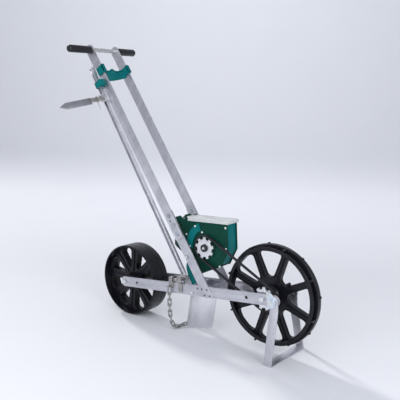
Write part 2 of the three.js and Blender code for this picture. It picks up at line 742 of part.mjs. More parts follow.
function buildMarkerBlade() {
  const clear = 0.3;
  const half = armWidth / 2;
  const outerFace = armOuter - clear - sliderWall;
  const sleeve = cut(
    block(-half - 3, half + 3, outerFace, armInner + clear + sliderWall, sliderSpot, sliderSpot + 30),
    block(-half - clear, half + clear, armOuter - clear, armInner + clear, sliderSpot - 1, sliderSpot + 31),
  );
  addMesh(marker, 'marker_slider', sleeve, zinc);
  const tabLow = outerFace - gap - 2.5;
  const middle = sliderSpot + 15;
  const tab = block(-6, 10, tabLow, tabLow + 2.5, middle - bladeWidth / 2, middle + bladeWidth / 2);
  const edge = bladeWidth / 2;
  const outline = [[0, -edge], [bladeLength - 34, -edge], [bladeLength, 4], [bladeLength - 26, edge], [0, edge]];
  const plate = new THREE.ExtrudeGeometry(polygon(outline), { depth: 2.5, bevelEnabled: false });
  const sin = Math.sin(bladeTurn);
  const cos = Math.cos(bladeTurn);
  plate.applyMatrix4(new THREE.Matrix4().set(
    -sin, 0, -cos, -4,
    -cos, 0, sin, tabLow + 1,
    0, 1, 0, middle,
    0, 0, 0, 1,
  ));
  addMesh(marker, 'marker_blade', join(tab, plate), steel);
}

// Moulded block round the arm that rests against the handle bar while the arm is parked.
function buildMarkerClip() {
  const low = sliderSpot + 56;
  const high = low + 22;
  const half = armWidth / 2 + gap;
  const near = armOuter - gap;
  const far = armInner + gap;
  const shell = block(-9.5, 23, near - 3, -upperBarOuter - 2 * gap, low, high);
  const bore = block(-half, half, near, far, low - 1, high + 1);
  addMesh(marker, 'marker_clip', cut(shell, bore), teal);
}

// ---- Covering chain ----
const chainRadius = 4;
const chainRoute = [
  [218, -63.5, 146.7], [218, -63.5, 130], [218, -63.4, 105], [218.5, -63, 80], [219.5, -61, 55], [221.5, -56, 32],
  [225, -46.5, 13], [229, -34, 5.4], [232, -18, 4.3], [234, 0, 4.3], [235, 18, 4.3], [234, 34, 5.4],
  [230, 46.5, 13], [225, 56, 32], [221, 61, 55], [219, 63, 80], [218, 63.4, 105], [218, 63.5, 130], [218, 63.5, 146.7],
];

function buildChain() {
  const bracketX = 218;
  const bracketWidth = 20;
  const curve = new THREE.CatmullRomCurve3(chainRoute.map(([x, y, z]) => new THREE.Vector3(x, y, z)));
  const section = new THREE.Shape();
  section.absarc(0, 0, chainRadius, 0, Math.PI * 2, false);
  const tube = new THREE.ExtrudeGeometry(section, { steps: 26, curveSegments: 8, extrudePath: curve, bevelEnabled: false });
  addMesh(root, 'covering_chain', tube, steel);
  const railTop = rearAxleHeight + bracketX * Math.tan(frameTilt) + railHeight / 2 + 1;
  const inside = railInner - 4;
  const outside = railOuter + gap;
  const path = [[inside, 152], [inside, railTop + 14], [outside, railTop + 14], [outside, 150], [69, 150]];
  for (const { name, sign } of sides) {
    const strip = new THREE.ExtrudeGeometry(sheetOutline(path, 2.5), { depth: bracketWidth, bevelEnabled: false });
    const low = bracketX - bracketWidth / 2;
    strip.applyMatrix4(new THREE.Matrix4().set(0, 0, 1, low, sign, 0, 0, 0, 0, 1, 0, 0, 0, 0, 0, 1));
    addMesh(root, `chain_bracket_${name}`, sign > 0 ? strip : flipWinding(strip), steel);
  }
}

function flipWinding(geometry) {
  const flat = geometry.index ? geometry.toNonIndexed() : geometry;
  const position = flat.attributes.position;
  for (let i = 0; i < position.count; i += 3) {
    const second = [position.getX(i + 1), position.getY(i + 1), position.getZ(i + 1)];
    position.setXYZ(i + 1, position.getX(i + 2), position.getY(i + 2), position.getZ(i + 2));
    position.setXYZ(i + 2, ...second);
  }
  return flat;
}

buildRails();
buildAxles();
buildWheels();
buildDrive();
buildHopper();
buildLid();
buildHopperMounts();
buildHandle();
buildBrace();
buildOpener();
buildChute();
buildStand();
buildMarkerArm();
buildMarkerClamp();
buildMarkerBlade();
buildMarkerClip();
buildChain();

export default root;
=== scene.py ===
import bpy
import bmesh
import json
import math
from mathutils import Matrix, Vector


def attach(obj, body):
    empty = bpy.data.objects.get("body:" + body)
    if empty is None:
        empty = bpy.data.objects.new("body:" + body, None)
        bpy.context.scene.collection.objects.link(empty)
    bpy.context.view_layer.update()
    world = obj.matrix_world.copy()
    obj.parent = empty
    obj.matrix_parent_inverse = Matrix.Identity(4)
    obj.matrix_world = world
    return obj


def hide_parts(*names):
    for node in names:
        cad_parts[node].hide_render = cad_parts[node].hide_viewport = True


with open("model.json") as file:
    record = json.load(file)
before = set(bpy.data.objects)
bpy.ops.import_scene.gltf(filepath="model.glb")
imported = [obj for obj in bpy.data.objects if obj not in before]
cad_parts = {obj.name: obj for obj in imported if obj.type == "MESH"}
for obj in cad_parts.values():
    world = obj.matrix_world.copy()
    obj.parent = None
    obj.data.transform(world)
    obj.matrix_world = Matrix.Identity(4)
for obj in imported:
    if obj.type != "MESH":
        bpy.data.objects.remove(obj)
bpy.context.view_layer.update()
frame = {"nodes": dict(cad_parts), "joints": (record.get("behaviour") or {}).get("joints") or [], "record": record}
print("frame loaded:", len(frame["nodes"]), "solids")

scene = bpy.context.scene
jointAt = {joint["name"]: joint.get("pos_m") for joint in frame["joints"]}
rearAxle = Vector(jointAt["rear_wheel_spin"])
mm = 0.001


def at(x, y, z):
    # a point given in millimetres: ahead of the rear axle, to the left of the middle, over the floor
    return Vector((rearAxle.x + x * mm, y * mm, z * mm))


# the machine's own angles, in the side view
slope = math.atan2(jointAt["front_wheel_spin"][2] - rearAxle.z, jointAt["front_wheel_spin"][0] - rearAxle.x)
handleLean = math.radians(34.3)
hopperTilt = math.radians(3)
markerLean = math.radians(32.84)


# ---- camera ----
camera = {
    "place": (1554.8, -1597.8, 792.1),
    "azimuth": 38.32,      # degrees to the left of straight along +Y
    "elevation": 9.69,     # degrees downwards
    "roll": 0.73,
    "lens": 57.2,
    "sensor": 36,
    "nearest": 0.05,       # clipping, in metres
    "farthest": 50,
}


def makeCamera():
    data = bpy.data.cameras.new("studio_camera")
    data.lens = camera["lens"]
    data.sensor_width = camera["sensor"]
    data.clip_start = camera["nearest"]
    data.clip_end = camera["farthest"]
    made = bpy.data.objects.new("studio_camera", data)
    turn = Matrix.Rotation(math.radians(camera["azimuth"]), 4, "Z")
    lift = Matrix.Rotation(math.radians(90 - camera["elevation"]), 4, "X")
    roll = Matrix.Rotation(math.radians(camera["roll"]), 4, "Z")
    made.matrix_world = Matrix.Translation(at(*camera["place"])) @ turn @ lift @ roll
    scene.collection.objects.link(made)
    scene.camera = made


makeCamera()
print("camera set")


# ---- shader helper ----
class Value:
    # a socket that takes part in arithmetic; every operation adds one Math node
    def __init__(self, tree, socket):
        self.tree = tree
        self.socket = socket

    def math(self, operation, *others):
        made = self.tree.nodes.new("ShaderNodeMath")
        made.operation = operation
        self.tree.links.new(self.socket, made.inputs[0])
        for index, other in enumerate(others, start=1):
            if isinstance(other, Value):
                self.tree.links.new(other.socket, made.inputs[index])
            else:
                made.inputs[index].default_value = other
        return Value(self.tree, made.outputs[0])

    def reflected(self, operation, other):
        made = self.tree.nodes.new("ShaderNodeMath")
        made.operation = operation
        made.inputs[0].default_value = other
        self.tree.links.new(self.socket, made.inputs[1])
        return Value(self.tree, made.outputs[0])

    def __add__(self, other):
        return self.math("ADD", other)

    def __sub__(self, other):
        return self.math("SUBTRACT", other)

    def __mul__(self, other):
        return self.math("MULTIPLY", other)

    def __gt__(self, other):
        return self.math("GREATER_THAN", other)

    def __radd__(self, other):
        return self.math("ADD", other)

    def __rmul__(self, other):
        return self.math("MULTIPLY", other)

    def __rsub__(self, other):
        return self.reflected("SUBTRACT", other)


class Finish:
    # one material: its tree, its shader and a way to add nodes
    def __init__(self, name, **constants):
        self.material = bpy.data.materials.new(name)
        self.material.use_nodes = True
        self.tree = self.material.node_tree
        self.shader = self.tree.nodes["Principled BSDF"]
        for socket, value in constants.items():
            self.shader.inputs[socket.replace("_", " ")].default_value = value

    def node(self, kind, settings=None, inputs=None, out=0):
        made = self.tree.nodes.new("ShaderNode" + kind)
        for key, value in (settings or {}).items():
            if key == "stops":
                ramp = made.color_ramp
                while len(ramp.elements) < len(value):
                    ramp.elements.new(0.5)
                for element, (position, colour) in zip(ramp.elements, value):
                    element.position = position
                    element.color = colour if len(colour) == 4 else (*colour, 1)
            else:
                setattr(made, key, value)
        for key, value in (inputs or {}).items():
            self.feed(made.inputs[key], value)
        return Value(self.tree, made.outputs[out])

    def feed(self, socket, value):
        if isinstance(value, Value):
            self.tree.links.new(value.socket, socket)
        elif isinstance(value, tuple) and len(value) == 3 and socket.type == "RGBA":
            socket.default_value = (*value, 1)
        else:
            socket.default_value = value

    def set(self, socket, value):
        self.feed(self.shader.inputs[socket], value)

    def place(self, turn=0.0, stretch=(1, 1, 1)):
        # object coordinates, turned about Y so that X runs along the piece, then stretched
        here = self.node("TexCoord", out=3)
        turned = self.node("Mapping", {"vector_type": "POINT"}, {"Vector": here, "Rotation": (0, turn, 0)})
        return self.node("Mapping", {"vector_type": "POINT"}, {"Vector": turned, "Scale": stretch})

    def noise(self, vector, scale, detail=3.0, roughness=0.5):
        inputs = {"Vector": vector, "Scale": scale, "Detail": detail, "Roughness": roughness}
        return self.node("TexNoise", None, inputs)

    def mix(self, amount, low, high):
        # the colour sockets of a Mix node, by their places: factor 0, A 6, B 7, result 2
        return self.node("Mix", {"data_type": "RGBA"}, {0: amount, 6: low, 7: high}, out=2)

    def bump(self, height, strength, distance):
        made = self.node("Bump", None, {"Height": height, "Strength": strength, "Distance": distance})
        self.set("Normal", made)


# ---- finishes ----
def brushedBar(name, turn, light=(0.66, 0.66, 0.70), dark=(0.47, 0.47, 0.52), rough=0.36):
    # rolled flat bar: fine lines along its length, cloudy oxide, small rubs
    made = Finish(name, Metallic=1.0)
    lines = made.noise(made.place(turn, (5, 900, 900)), 1.0, 2.0, 0.6)
    cloud = made.noise(made.place(turn, (14, 40, 40)), 1.0, 4.0, 0.6)
    rubs = made.noise(made.place(turn + 0.35, (30, 500, 500)), 1.0, 2.0, 0.7)
    tone = cloud * 0.75 + lines * 0.25
    ramp = made.node("ValToRGB", {"stops": [(0.3, dark), (0.7, light)]}, {"Fac": tone})
    worn = made.mix((rubs > 0.69) * 0.35, ramp, (0.92, 0.92, 0.94))
    made.set("Base Color", worn)
    made.set("Roughness", rough - 0.08 + lines * 0.16 + cloud * 0.10)
    made.bump(lines, 0.10, 0.0004)
    return made.material


def cutMetal(name, light, dark, rough, grain=260.0):
    # turned, stamped or plated metal: fine grain with soft clouding
    made = Finish(name, Metallic=1.0)
    fine = made.noise(made.place(), grain * 6, 3.0, 0.6)
    cloud = made.noise(made.place(), grain * 0.25, 4.0, 0.6)
    tone = cloud * 0.7 + fine * 0.3
    made.set("Base Color", made.node("ValToRGB", {"stops": [(0.32, dark), (0.68, light)]}, {"Fac": tone}))
    made.set("Roughness", rough - 0.1 + fine * 0.12 + cloud * 0.12)
    made.bump(fine, 0.12, 0.0003)
    return made.material


def zincPlate(name):
    # blue-white zinc with faint rainbow clouds
    made = Finish(name, Metallic=1.0)
    cloud = made.noise(made.place(), 55.0, 3.0, 0.5)
    fine = made.noise(made.place(), 1400.0, 2.0, 0.6)
    stops = [
        (0.30, (0.62, 0.68, 0.78)), (0.48, (0.72, 0.78, 0.84)),
        (0.60, (0.80, 0.80, 0.74)), (0.72, (0.66, 0.74, 0.84)),
    ]
    made.set("Base Color", made.node("ValToRGB", {"stops": stops}, {"Fac": cloud}))
    made.set("Roughness", 0.22 + cloud * 0.14 + fine * 0.06)
    made.bump(fine, 0.08, 0.0002)
    return made.material


def moulded(name, colour, rough=0.42, mottle=0.18, grain=0.16, sheen=0.04, scuff=0.0, shine=0.10):
    # injection moulded plastic: pebble grain, faint flow marks, dry scuffs
    made = Finish(name, Metallic=0.0, Coat_Weight=sheen, Coat_Roughness=0.35, Specular_IOR_Level=shine)
    pebble = made.noise(made.place(), 1500.0, 2.0, 0.5)
    flow = made.noise(made.place(0.5, (12, 22, 22)), 1.0, 3.0, 0.55)
    low = tuple(c * (1 - mottle) for c in colour)
    high = tuple(min(1, c * (1 + mottle) + 0.002) for c in colour)
    base = made.node("ValToRGB", {"stops": [(0.3, low), (0.7, high)]}, {"Fac": flow * 0.8 + pebble * 0.2})
    if scuff:
        marks = made.noise(made.place(-0.4, (35, 160, 160)), 1.0, 4.0, 0.7)
        pale = tuple(c * 0.6 + 0.09 for c in colour)
        base = made.mix((marks > 0.62) * scuff, base, pale)
    made.set("Base Color", base)
    made.set("Roughness", rough - 0.06 + flow * 0.12 + pebble * 0.06)
    made.bump(pebble, grain, 0.0003)
    return made.material


def clearPlastic(name, tint, through):
    # clear moulding, slightly hazed, with handling marks
    made = Finish(name, Metallic=0.0, Transmission_Weight=through, IOR=1.49)
    haze = made.noise(made.place(), 45.0, 4.0, 0.6)
    fine = made.noise(made.place(0, (60, 400, 400)), 1.0, 2.0, 0.6)
    low = tuple(c * 0.94 for c in tint)
    made.set("Base Color", made.node("ValToRGB", {"stops": [(0.3, low), (0.7, tint)]}, {"Fac": haze}))
    made.set("Roughness", 0.12 + haze * 0.18 + fine * 0.05)
    made.bump(fine, 0.05, 0.0003)
    return made.material


def rubberFinish(name, colour, rough=0.62, shine=0.25):
    # soft rubber: fine grain, paler where hands or the pulleys rub
    made = Finish(name, Metallic=0.0, Specular_IOR_Level=shine)
    grain = made.noise(made.place(), 2200.0, 3.0, 0.6)
    wear = made.noise(made.place(), 60.0, 3.0, 0.6)
    high = tuple(c * 1.5 + 0.004 for c in colour)
    made.set("Base Color", made.node("ValToRGB", {"stops": [(0.35, colour), (0.72, high)]}, {"Fac": wear}))
    made.set("Roughness", rough + wear * 0.14 - 0.05)
    made.bump(grain, 0.35, 0.0004)
    return made.material


finishes = {
    "rail": brushedBar("aluminium_rail", slope),
    "handle": brushedBar("aluminium_handle", math.radians(90) - handleLean),
    "arm": brushedBar(
        "aluminium_arm", math.radians(90) - markerLean, light=(0.82, 0.82, 0.85), dark=(0.62, 0.62, 0.66), rough=0.40,
    ),
    "upright": brushedBar("aluminium_stand", math.radians(90)),
    "cross": cutMetal("aluminium_tube", (0.80, 0.80, 0.78), (0.62, 0.62, 0.61), 0.24),
    "shoe": brushedBar(
        "aluminium_shoe", math.radians(82), light=(0.76, 0.76, 0.79), dark=(0.60, 0.60, 0.64), rough=0.30,
    ),
    "machined": cutMetal("aluminium_machined", (0.86, 0.86, 0.88), (0.70, 0.70, 0.73), 0.30),
    "steel": cutMetal("bare_steel", (0.50, 0.485, 0.475), (0.29, 0.28, 0.28), 0.34),
    # steel colour darkened further as painted shade: it stands in for the shade inside the rivets' hollow heads
    "rivetSteelPaintedShade": cutMetal("rivet_steel_painted_shade", (0.22, 0.22, 0.23), (0.10, 0.10, 0.11), 0.34),
    "bolt": cutMetal("bolt_steel", (0.58, 0.61, 0.66), (0.34, 0.36, 0.40), 0.30),
    "brightSteel": cutMetal("bright_steel", (0.80, 0.80, 0.82), (0.60, 0.60, 0.63), 0.28),
    "zinc": zincPlate("zinc_plate"),
    "wheel": moulded(
        "black_moulding", (0.0055, 0.0055, 0.0095), rough=0.25, mottle=0.30, scuff=0.04, shine=0.25,
    ),
    "cap": moulded("black_cap", (0.010, 0.010, 0.012), rough=0.32, shine=0.30),
    "grip": rubberFinish("grip_rubber", (0.0060, 0.0060, 0.0095), rough=0.34, shine=0.42),
    "belt": rubberFinish("belt_rubber", (0.016, 0.016, 0.020), rough=0.55),
    "green": moulded("dark_green_moulding", (0.0008, 0.0440, 0.0290), rough=0.40, scuff=0.05),
    "teal": moulded("teal_moulding", (0.0004, 0.1500, 0.1550), rough=0.38, scuff=0.04),
    "clear": clearPlastic("clear_lid", (0.95, 0.98, 0.975), 0.52),
    "disc": clearPlastic("clear_disc", (0.80, 0.84, 0.84), 0.55),
    "screw": moulded("screw_head", (0.70, 0.73, 0.72), rough=0.30, mottle=0.08, shine=0.50),
    "blade": brushedBar(
        "marker_blade_steel", math.radians(17), light=(0.40, 0.40, 0.43), dark=(0.28, 0.28, 0.31), rough=0.42,
    ),
    "chain": cutMetal("chain_steel", (0.50, 0.50, 0.50), (0.24, 0.23, 0.23), 0.22),
}
print("finishes made:", len(finishes))


# ---- making and finishing pieces ----
bodyOf = {node: body for body, nodes in frame["record"]["behaviour"]["bodies"].items() for node in nodes}


def smoothByAngle(bm, degrees):
    limit = math.radians(degrees)
    for face in bm.faces:
        face.smooth = True
    for edge in bm.edges:
        edge.smooth = len(edge.link_faces) == 2 and edge.calc_face_angle(0) < limit


hardAngle = 32             # degrees; an edge sharper than this is a hard edge


def finishPiece(name, bm, body, finish, replaces=(), sharp=hardAngle):
    smoothByAngle(bm, sharp)
    mesh = bpy.data.meshes.new(name)
    bm.to_mesh(mesh)
    bm.free()
    mesh.materials.append(finishes[finish])
    piece = bpy.data.objects.new(name, mesh)
    scene.collection.objects.link(piece)
    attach(piece, body)
    if replaces:
        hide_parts(*replaces)
    return piece


def roundEdges(bm, edges, width, segments=2):
    return bmesh.ops.bevel(
        bm, geom=edges, offset=width * mm, offset_type="OFFSET", segments=segments,
        profile=0.5, affect="EDGES", clamp_overlap=True, material=-1,
    )


def bevelSharp(bm, width, degrees=hardAngle, segments=2):
    limit = math.radians(degrees)
    edges = [e for e in bm.edges if len(e.link_faces) == 2 and e.calc_face_angle(0) > limit]
    roundEdges(bm, edges, width, segments)


def newVerts(drawn):
    return [g for g in drawn if isinstance(g, bmesh.types.BMVert)]


def closeUp(bm):
    # merges the vertices that meet at seams and poles, then turns every face outwards
    bmesh.ops.remove_doubles(bm, verts=bm.verts, dist=0.001 * mm)
    bmesh.ops.recalc_face_normals(bm, faces=bm.faces)


def refine(node, finish, width):
    # the solid itself, with its hard edges broken
    bm = bmesh.new()
    bm.from_mesh(frame["nodes"][node].data)
    bmesh.ops.remove_doubles(bm, verts=bm.verts, dist=0.02 * mm)
    bmesh.ops.dissolve_limit(bm, angle_limit=math.radians(1), verts=bm.verts, edges=bm.edges)
    bevelSharp(bm, width)
    bmesh.ops.triangulate(bm, faces=[f for f in bm.faces if len(f.verts) > 4])
    finishPiece(node + "_shape", bm, bodyOf[node], finish, replaces=(node,))


# ---- covering chain ----
chain = {
    "route": [
        (218, -63.5, 146.7), (218, -63.5, 130), (218, -63.4, 105), (218.5, -63, 80), (219.5, -61, 55),
        (221.5, -56, 32), (225, -46.5, 13), (229, -34, 5.4), (232, -18, 4.3), (234, 0, 4.3), (235, 18, 4.3),
        (234, 34, 5.4), (230, 46.5, 13), (225, 56, 32), (221, 61, 55), (219, 63, 80), (218, 63.4, 105),
        (218, 63.5, 130), (218, 63.5, 146.7),
    ],
    "smoothing": 8,        # steps between two points of the route
    "wire": 2.2,           # radius of the wire
    "halfWidth": 5.2,      # from a link's middle line to its wire's centre
    "pitch": 18.6,
    "lowest": 8.3,         # height of the path where the links lie on the floor
    "section": 8,
    "turn": 5,             # steps round each end of a link
    "roll": 45,            # each link leans this far, the next one the other way
}


def smoothPath(points, steps):
    # a curve through all the points
    path = []
    for i in range(len(points) - 1):
        a = points[max(i - 1, 0)]
        b = points[i]
        c = points[i + 1]
        d = points[min(i + 2, len(points) - 1)]
        for step in range(steps):
            t = step / steps
            square = (2 * a - 5 * b + 4 * c - d) * t * t
            cube = (3 * b - a - 3 * c + d) * t ** 3
            path.append(0.5 * (2 * b + (c - a) * t + square + cube))
    path.append(points[-1])
    return path


def pathLength(path):
    return sum((b - a).length for a, b in zip(path, path[1:]))


def pointAlong(path, distance):
    for a, b in zip(path, path[1:]):
        step = (b - a).length
        if distance <= step:
            return a.lerp(b, distance / step), (b - a).normalized()
        distance -= step
    return path[-1], (path[-1] - path[-2]).normalized()


def addLink(bm, place, straight):
    # one closed link along X: a wire section drawn along each side and spun round each end
    link = bmesh.new()
    half = chain["halfWidth"] * mm
    section = bmesh.ops.create_circle(link, segments=chain["section"], radius=chain["wire"] * mm)["verts"]
    bmesh.ops.rotate(link, verts=section, cent=(0, 0, 0), matrix=Matrix.Rotation(math.radians(90), 3, "Y"))
    bmesh.ops.translate(link, verts=section, vec=(-straight / 2, half, 0))
    ring = list(link.edges)
    for end in (1, -1):
        drawn = bmesh.ops.extrude_edge_only(link, edges=ring)["geom"]
        verts = newVerts(drawn)
        bmesh.ops.translate(link, verts=verts, vec=(end * straight, 0, 0))
        ring = [g for g in drawn if isinstance(g, bmesh.types.BMEdge)]
        ring = [e for e in ring if e.verts[0] in verts and e.verts[1] in verts]
        spun = bmesh.ops.spin(
            link, geom=verts + ring, cent=(end * straight / 2, 0, 0), axis=(0, 0, -1),
            angle=math.pi, steps=chain["turn"], use_duplicate=False,
        )
        ring = [g for g in spun["geom_last"] if isinstance(g, bmesh.types.BMEdge)]
    bmesh.ops.remove_doubles(link, verts=link.verts, dist=0.05 * mm)
    bmesh.ops.recalc_face_normals(link, faces=link.faces)
    bmesh.ops.transform(link, matrix=place, verts=link.verts)
    single = bpy.data.meshes.new("chain_link")
    link.to_mesh(single)
    link.free()
    bm.from_mesh(single)
    bpy.data.meshes.remove(single)


def makeChain():
    points = [at(x, y, max(z, chain["lowest"])) for x, y, z in chain["route"]]
    path = smoothPath(points, chain["smoothing"])
    for point in path:
        point.z = max(point.z, chain["lowest"] * mm)
    length = pathLength(path)
    count = int(length // (chain["pitch"] * mm))
    pitch = length / count
    straight = pitch + (4 * chain["wire"] - 2 * chain["halfWidth"]) * mm
    bm = bmesh.new()
    side = Vector((1, 0, 0))
    for i in range(count):
        middle, along = pointAlong(path, (i + 0.5) * pitch)
        side = (side - along * side.dot(along)).normalized()
        up = along.cross(side)
        basis = Matrix((along, side, up)).transposed().to_4x4()
        roll = Matrix.Rotation(math.radians(chain["roll"] if i % 2 else -chain["roll"]), 4, "X")
        addLink(bm, Matrix.Translation(middle) @ basis @ roll, straight)
    piece = finishPiece(
        "chain_links", bm, "chassis", "chain", replaces=("covering_chain",), sharp=60,
    )
    print("chain:", count, "links,", round(length, 3), "m")


makeChain()


# ---- wheels ----
frontWheel = {
    "spokes": 8,
    "windowTurn": 0.07,    # share of a spoke's spacing
    "windowInner": 60,
    "windowOuter": 141,
    "windowHalf": 42.5,
    "tipHalf": 12,
    "round": 11,
    "web": 4,              # half thickness of the web
    "webRim": 147,
    "flange": 2.6,
    "flangeHalf": 7.5,
    "rim": [               # radius and y, round the section
        (140, -17), (141, -18), (151, -18), (152, -17), (152, -15), (147.2, -14.4), (147.2, -1.5),
        (157.6, -0.8), (158.8, 0.4), (159, 2), (159, 15.5), (158.7, 17), (157.6, 18), (152.5, 18),
        (151, 16.5), (144.5, 10), (143.5, -13), (140, -14.5),
    ],
    "hub": [
        (7.2, -31), (16, -31), (20, -28), (26, -8), (30, -4),
        (30, 4), (26, 8), (20, 31), (18, 33.2), (7.2, 33.2),
    ],
    # blocks once a spoke: size, turn from the spoke, radius, y
    "blocks": [
        ((15, 17.5, 6), 0.10, 150.5, -9.8),     # bar across the open channel
        ((5, 6, 7), -0.25, 159.2, 13.5),        # grip lug on the tread's edge
        ((84, 16, 3), 0.055, 100, 0),           # rib down the spoke
    ],
    "firstBlock": 0.5,     # share of a spoke's spacing
    "peg": {"angle": 38, "radius": 76, "y": -6, "root": 5, "tip": 4.6, "long": 16},
}
rearWheel = {
    "spokes": 8,
    "windowTurn": 0.4,
    "windowInner": 44,
    "windowOuter": 113,
    "windowHalf": 25,
    "tipHalf": 5,
    "round": 8,
    "web": 12,
    "webRim": 118,
    "flange": 2.4,
    "flangeHalf": 13.5,
    "rim": [
        (119.5, -36), (123, -36), (124.6, -35.2), (124.95, -33.5), (124.95, -13), (123.7, -12.4),
        (123.7, -11.6), (124.95, -11), (124.95, 11), (123.7, 11.6), (123.7, 12.4), (124.95, 13),
        (124.95, 33.5), (124.6, 35.2), (123, 36), (119.5, 36), (116.5, 6), (116.5, -6),
    ],
    "hub": [
        (7.2, -37.3), (19, -37.3), (21, -35.5), (24, -15), (30, -4),
        (30, 4), (24, 15), (21, 35.5), (19, 37.3), (7.2, 37.3),
    ],
    "blocks": [((88, 31, 2.4), 0, 72, 0)],      # rib down the spoke
    "firstBlock": 0.9,
}
wheelMaking = {
    "rimSteps": 96,
    "hubSteps": 48,
    "boreSteps": 24,
    "bore": 12,            # hidden in the hub
    "cornerSteps": 5,
    "edge": 0.7,
    "edgeAngle": 40,
    "cornerShare": 0.45,   # a corner's curve takes at most this much of a side
    "shoulder": 0.92,      # a window is widest at this share of its outer radius
}


def windowOutline(wheel, index, grow):
    # corners of one window, each rounded; grow moves the whole outline outwards
    centre = (index + wheel["windowTurn"]) * math.tau / wheel["spokes"]
    inner = wheel["windowInner"] - grow * 1.2
    outer = wheel["windowOuter"] + grow
    half = wheel["windowHalf"] + grow
    tip = wheel["tipHalf"] + grow * 0.7
    share = wheelMaking["cornerShare"]
    wide = outer * wheelMaking["shoulder"]
    spots = [(inner, -tip), (wide, -half), (outer, -half * 0.45), (outer, half * 0.45), (wide, half), (inner, tip)]
    turn = Matrix.Rotation(centre, 2)
    corners = [turn @ Vector(spot) for spot in spots]
    steps = wheelMaking["cornerSteps"]
    outline = []
    for before, corner, after in zip(corners[-1:] + corners[:-1], corners, corners[1:] + corners[:1]):
        start = corner + (before - corner).normalized() * min(wheel["round"], (before - corner).length * share)
        end = corner + (after - corner).normalized() * min(wheel["round"], (after - corner).length * share)
        for step in range(steps + 1):
            t = step / steps
            outline.append(start * (1 - t) ** 2 + corner * 2 * t * (1 - t) + end * t ** 2)
    return outline


def circleOutline(radius, steps):
    angles = [i * math.tau / steps for i in range(steps)]
    return [Vector((radius * math.cos(angle), radius * math.sin(angle))) for angle in angles]


def addPlate(bm, outlines, low, high):
    # a plate in the wheel's plane: filled between its outlines, then drawn along Y
    edges = []
    for outline in outlines:
        verts = [bm.verts.new((spot.x * mm, low * mm, spot.y * mm)) for spot in outline]
        edges += [bm.edges.new(pair) for pair in zip(verts, verts[1:] + verts[:1])]
    filled = bmesh.ops.triangle_fill(bm, use_beauty=True, use_dissolve=False, edges=edges)["geom"]
    faces = [g for g in filled if isinstance(g, bmesh.types.BMFace)]
    drawn = bmesh.ops.extrude_face_region(bm, geom=faces, use_keep_orig=True)["geom"]
    bmesh.ops.translate(bm, verts=newVerts(drawn), vec=(0, (high - low) * mm, 0))


def addTurned(bm, profile, steps):
    # a closed section of radius and y, spun once round Y
    verts = [bm.verts.new((radius * mm, y * mm, 0)) for radius, y in profile]
    edges = [bm.edges.new(pair) for pair in zip(verts, verts[1:] + verts[:1])]
    bmesh.ops.spin(
        bm, geom=verts + edges, cent=(0, 0, 0), axis=(0, 1, 0), angle=math.tau, steps=steps, use_merge=True,
    )


def addBlock(bm, size, place):
    # a small block with broken edges, set by a matrix in metres
    made = bmesh.ops.create_cube(bm, size=1, matrix=Matrix.Diagonal((*(side * mm for side in size), 1)))
    edges = list({edge for vert in made["verts"] for edge in vert.link_edges})
    cut = roundEdges(bm, edges, min(size) * 0.18)
    verts = {vert for face in cut["faces"] for vert in face.verts}
    bmesh.ops.transform(bm, matrix=place, verts=list(verts))


def aboutHub(angle, radius, y):
    # a place on a wheel whose X axis points outwards along the radius
    turn = Matrix.Rotation(-angle, 4, "Y")
    return turn @ Matrix.Translation((radius * mm, y * mm, 0))


def makeWheel(name, node, wheel, hub):
    bm = bmesh.new()
    count = wheel["spokes"]
    windows = [windowOutline(wheel, i, 0) for i in range(count)]
    disc = circleOutline(wheel["webRim"], wheelMaking["rimSteps"])
    bore = circleOutline(wheelMaking["bore"], wheelMaking["boreSteps"])
    addPlate(bm, [disc, bore, *windows], -wheel["web"], wheel["web"])
    for i, window in enumerate(windows):
        border = windowOutline(wheel, i, wheel["flange"])
        addPlate(bm, [border, window], -wheel["flangeHalf"], wheel["flangeHalf"])
    bevelSharp(bm, wheelMaking["edge"], wheelMaking["edgeAngle"], 1)
    addTurned(bm, wheel["rim"], wheelMaking["rimSteps"])
    addTurned(bm, wheel["hub"], wheelMaking["hubSteps"])
    for i in range(count):
        spoke = (i + wheel["firstBlock"]) * math.tau / count
        for size, turn, radius, y in wheel["blocks"]:
            addBlock(bm, size, aboutHub(spoke + turn, radius, y))
    if "peg" in wheel:
        peg = wheel["peg"]
        place = aboutHub(math.radians(peg["angle"]), peg["radius"], peg["y"])
        bmesh.ops.create_cone(
            bm, cap_ends=True, segments=20, radius1=peg["root"] * mm, radius2=peg["tip"] * mm,
            depth=peg["long"] * mm, matrix=place @ Matrix.Rotation(math.radians(90), 4, "X"),
        )
    bmesh.ops.recalc_face_normals(bm, faces=bm.faces)
    bmesh.ops.translate(bm, verts=bm.verts, vec=hub)
    finishPiece(name, bm, node, "wheel", replaces=(node,), sharp=30)


makeWheel("front_wheel_moulding", "front_wheel", frontWheel, jointAt["front_wheel_spin"])
makeWheel("rear_wheel_moulding", "rear_wheel", rearWheel, jointAt["rear_wheel_spin"])
print("wheels made")


# ---- fasteners ----
handleFoot = (366.7, 162)  # x and z
markerFoot = (288, 207)


def onBar(foot, lean, across, y, along):
    # a point given along a leaning bar from its foot, in millimetres
    x = foot[0] - along * math.sin(lean) + across * math.cos(lean)
    return at(x, y, foot[1] + along * math.cos(lean) + across * math.sin(lean))


def onHandle(across, y, along):
    return onBar(handleFoot, handleLean, across, y, along)


# shares of a head's radius and height, from the middle of its foot to the bottom of its recess
domeSection = [(0, 0), (1, 0), (1, 0.25), (0.82, 0.72), (0.5, 1), (0.3, 0.94), (0.22, 0.5), (0, 0.45)]
domeSteps = 14


def addDome(bm, spot, side, radius, height):
    # a low domed head on a face that looks along side * Y, with a driver's recess
    verts = [bm.verts.new((out * radius * mm, 0, up * height * mm)) for out, up in domeSection]
    edges = [bm.edges.new(pair) for pair in zip(verts, verts[1:])]
    bmesh.ops.spin(
        bm, geom=verts + edges, cent=(0, 0, 0), axis=(0, 0, 1), angle=math.tau, steps=domeSteps, use_merge=True,
    )
    spotVerts(bm, verts, spot, side)


